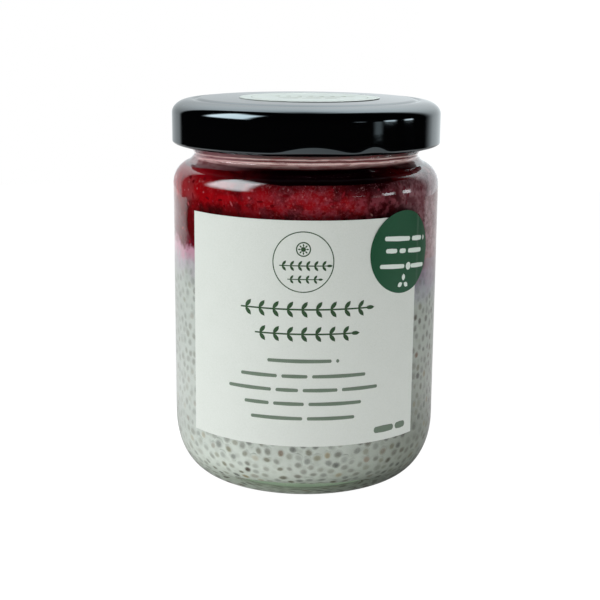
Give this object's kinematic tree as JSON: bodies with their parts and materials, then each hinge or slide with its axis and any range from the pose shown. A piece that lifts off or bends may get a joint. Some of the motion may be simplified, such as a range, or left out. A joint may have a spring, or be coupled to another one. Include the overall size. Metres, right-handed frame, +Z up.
{
  "type": "chia pudding in a jar",
  "caption": "Closed round glass jar of pale seeded pudding under a dark red berry layer, with a gloss black twist lid and paper labels.",
  "frame": {"origin": "middle of the jar's base, on the surface it stands on", "axes": "+Z up through the lid; -Y is the front, where the paper label faces; +X is to the right of a viewer who faces the label"},
  "size_m": [0.0692, 0.0695, 0.0988],
  "materials": {
    "clear_glass": "clear moulded glass with a faint green edge",
    "black_lacquer": "gloss black lacquer on tinplate",
    "seeded_pudding": "pale grey milk pudding with swollen seeds, stained pink near the berry layer",
    "berry_compote": "wet dark red crushed berries",
    "label_paper": "smooth off-white paper with dark green print",
    "green_paper": "smooth dark green paper with pale print"
  },
  "bodies": {
    "root": {"jar": "clear_glass", "lid": "black_lacquer", "chia_pudding": "seeded_pudding", "berry_compote": "berry_compote", "front_label": "label_paper", "round_sticker": "green_paper", "lid_sticker": "label_paper"}
  },
  "joints": []
}
